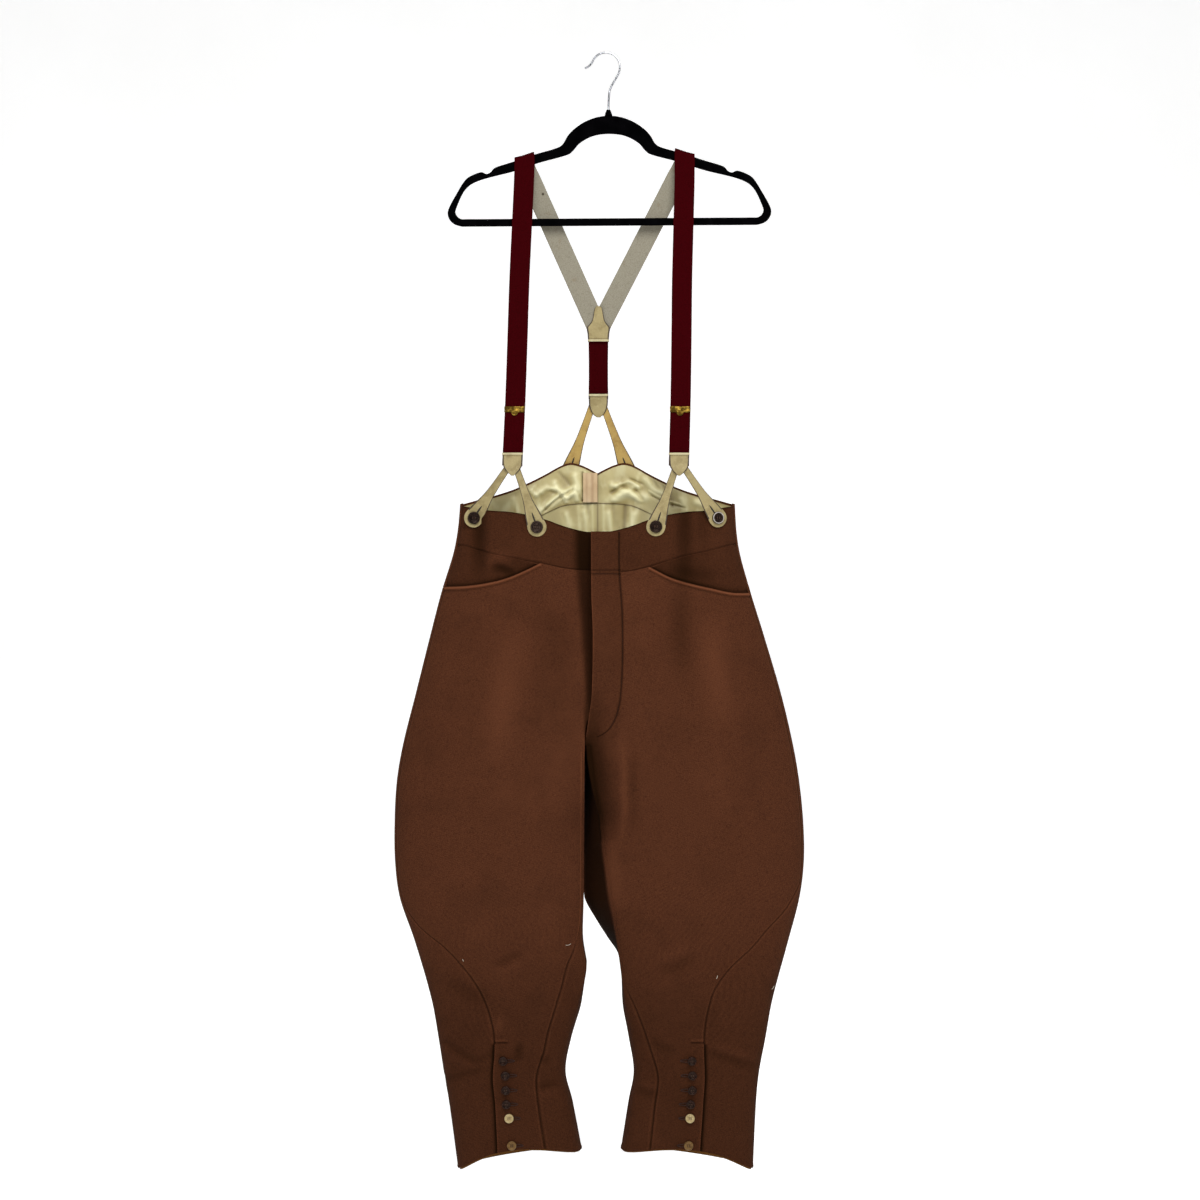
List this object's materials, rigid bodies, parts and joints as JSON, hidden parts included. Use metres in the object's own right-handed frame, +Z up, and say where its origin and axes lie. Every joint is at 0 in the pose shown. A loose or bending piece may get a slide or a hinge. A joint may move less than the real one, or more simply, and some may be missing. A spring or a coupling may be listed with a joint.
{
  "type": "jodhpurs with braces on a clothes hanger",
  "caption": "Brown wool riding jodhpurs with full thighs and buttoned calves, hung by burgundy button-on braces from a black flocked hanger with a wire hook.",
  "frame": {"origin": "inside of the top of the hanger hook, where a rail carries it", "axes": "+Z up along the hanging garment, -Y out of its front, +X to the wearer's left"},
  "size_m": [0.5628, 0.1066, 1.5343],
  "materials": {
    "twill": "dense wool cavalry twill, matt with a soft nap",
    "lining": "cotton sateen, soft sheen",
    "lining_strip": "cotton, matt",
    "hem_facing": "cotton twill, matt",
    "webbing": "double-faced braces webbing, burgundy outside and cream inside",
    "leather": "undyed leather with a painted edge, semi-matt",
    "tan_leather": "waxed tan leather",
    "horn": "polished dark horn",
    "cream_button": "polished cream corozo",
    "tan_button": "polished tan corozo",
    "brass": "gilt, polished",
    "flock": "black flock",
    "chrome": "polished"
  },
  "bodies": {
    "root": {"right_front": "twill", "left_front": "twill", "right_back": "twill", "left_back": "twill", "right_waistband": "twill", "left_waistband": "twill", "fly": "twill", "right_pocket_facing": "twill", "left_pocket_facing": "twill", "right_button_stand": "twill", "left_button_stand": "twill", "right_lining": "lining", "left_lining": "lining", "right_waist_curtain": "lining", "left_waist_curtain": "lining", "centre_back_strip": "lining_strip", "right_hem_facing": "hem_facing", "left_hem_facing": "hem_facing", "right_strap": "webbing", "left_strap": "webbing", "back_elastic": "webbing", "yoke_inner": "leather", "yoke_outer": "leather", "back_shield_inner": "leather", "back_shield_outer": "leather", "right_front_shield": "leather", "left_front_shield": "leather", "right_outer_tab": "leather", "right_inner_tab": "leather", "left_inner_tab": "leather", "left_outer_tab": "leather", "right_back_tab": "tan_leather", "left_back_tab": "tan_leather", "right_outer_tab_button": "horn", "right_inner_tab_button": "horn", "left_inner_tab_button": "horn", "left_outer_tab_button": "horn", "right_back_tab_button": "horn", "left_back_tab_button": "horn", "right_calf_button_1": "horn", "right_calf_button_2": "horn", "right_calf_button_3": "horn", "right_calf_button_4": "horn", "left_calf_button_1": "horn", "left_calf_button_2": "horn", "left_calf_button_3": "horn", "left_calf_button_4": "horn", "right_calf_button_5": "cream_button", "left_calf_button_5": "cream_button", "right_calf_button_6": "tan_button", "left_calf_button_6": "tan_button", "right_adjuster": "brass", "left_adjuster": "brass", "hanger": "flock", "hook_collar": "flock", "hook": "chrome"}
  },
  "joints": []
}
